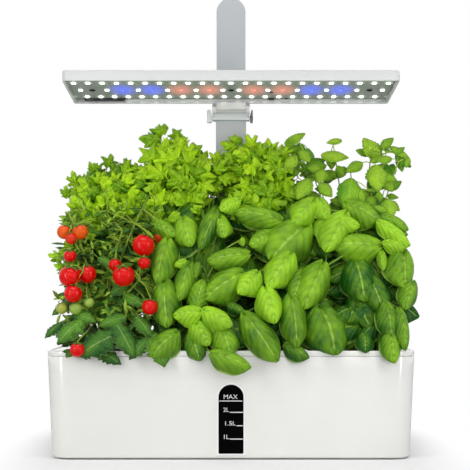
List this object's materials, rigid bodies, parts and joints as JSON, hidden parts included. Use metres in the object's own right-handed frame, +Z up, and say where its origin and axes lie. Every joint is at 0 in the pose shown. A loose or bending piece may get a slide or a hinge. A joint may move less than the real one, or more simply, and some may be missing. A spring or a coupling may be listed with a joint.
{
  "type": "countertop hydroponic garden",
  "caption": "Countertop hydroponic garden: a white water tank with a level window, a pod deck grown with herbs and tomatoes, and an LED lamp that slides and tilts on a mast.",
  "frame": {"origin": "middle of the footprint of tank and foliage, on the table under the rubber pads", "axes": "+Z up, -Y towards the viewer at the level window, +X to the viewer's right"},
  "size_m": [0.4151, 0.1803, 0.491],
  "materials": {
    "tank_white": "glossy off-white moulded ABS",
    "lamp_white": "satin cool-white moulded ABS",
    "window_black": "glossy black with printed white level marks",
    "mast_grey": "satin blue-grey",
    "clip_grey": "ribbed dark grey",
    "button_grey": "satin grey",
    "impeller_grey": "moulded grey",
    "foot_rubber": "matt black",
    "steel": "turned stainless steel",
    "black_steel": "black oxide",
    "circuit_green": "pale grey-green solder mask",
    "pump_black": "moulded black",
    "basket_black": "moulded black",
    "pipe_clear": "milky clear PVC",
    "sponge_brown": "wet dark brown peat sponge",
    "basil_leaf": "living basil leaf, semi-gloss",
    "parsley_leaf": "living parsley leaf",
    "mint_leaf": "living pale herb leaf",
    "tomato_leaf": "living tomato plant, green leaves and glossy red fruit"
  },
  "bodies": {
    "base": {"tank": "tank_white", "level_window": "window_black", "foot_1": "foot_rubber", "foot_2": "foot_rubber", "foot_3": "foot_rubber", "foot_4": "foot_rubber"},
    "deck_unit": {"deck": "tank_white", "control_housing": "tank_white", "control_board": "circuit_green", "dc_jack": "pump_black", "mast_lower": "mast_grey", "mast_upper": "mast_grey", "pump_body": "pump_black", "pump_cover": "pump_black", "pump_pipe": "pipe_clear", "pump_shaft": "steel", "pod_basket_1": "basket_black", "pod_basket_2": "basket_black", "pod_basket_3": "basket_black", "pod_basket_4": "basket_black", "pod_basket_5": "basket_black", "pod_basket_6": "basket_black", "pod_basket_7": "basket_black", "pod_basket_8": "basket_black", "grow_sponge_1": "sponge_brown", "grow_sponge_2": "sponge_brown", "grow_sponge_3": "sponge_brown", "grow_sponge_4": "sponge_brown", "grow_sponge_5": "sponge_brown", "grow_sponge_6": "sponge_brown", "grow_sponge_7": "sponge_brown", "grow_sponge_8": "sponge_brown", "basil_left": "basil_leaf", "basil_right": "basil_leaf", "basil_far_right": "basil_leaf", "tomato_plant": "tomato_leaf", "parsley_left": "parsley_leaf", "parsley_middle": "parsley_leaf", "parsley_right": "parsley_leaf", "mint_right": "mint_leaf"},
    "impeller": {"pump_impeller": "impeller_grey"},
    "button": {"mode_button": "button_grey"},
    "carriage_unit": {"carriage": "lamp_white", "tilt_pin": "steel", "clip_pin_left": "steel", "clip_pin_right": "steel"},
    "left_lever": {"clip_left": "clip_grey"},
    "right_lever": {"clip_right": "clip_grey"},
    "lamp_head": {"lamp_housing": "lamp_white", "led_board": "circuit_green", "lamp_bracket": "lamp_white", "board_screw_left": "black_steel", "board_screw_middle": "black_steel", "board_screw_right": "black_steel"}
  },
  "joints": [
    {"name": "deck_lift", "type": "slide", "parent": "base", "child": "deck_unit", "axis": [0, 0, 1], "range_m": [0, 0.12]},
    {"name": "impeller_spin", "type": "hinge", "parent": "deck_unit", "child": "impeller", "pos_m": [0, -0.006, 0.0183], "axis": [0, 0, 1], "continuous": true},
    {"name": "mode_press", "type": "slide", "parent": "deck_unit", "child": "button", "axis": [0, 0, -1], "range_m": [0, 0.0008], "stiffness_N_per_m": 800, "springref_m": -0.0002},
    {"name": "lamp_height", "type": "slide", "parent": "deck_unit", "child": "carriage_unit", "axis": [0, 0, 1], "range_m": [0, 0.085]},
    {"name": "left_clip_squeeze", "type": "hinge", "parent": "carriage_unit", "child": "left_lever", "pos_m": [-0.019, 0.0545, 0.36], "axis": [0, 1, 0], "range_deg": [0, 6], "stiffness_Nm_per_rad": 0.05, "springref_deg": -2.86},
    {"name": "right_clip_squeeze", "type": "hinge", "parent": "carriage_unit", "child": "right_lever", "pos_m": [0.019, 0.0545, 0.36], "axis": [0, -1, 0], "range_deg": [0, 6], "stiffness_Nm_per_rad": 0.05, "springref_deg": -2.86},
    {"name": "lamp_tilt", "type": "hinge", "parent": "carriage_unit", "child": "lamp_head", "pos_m": [0, 0.043, 0.3669], "axis": [-1, 0, 0], "range_deg": [-5, 12]}
  ]
}
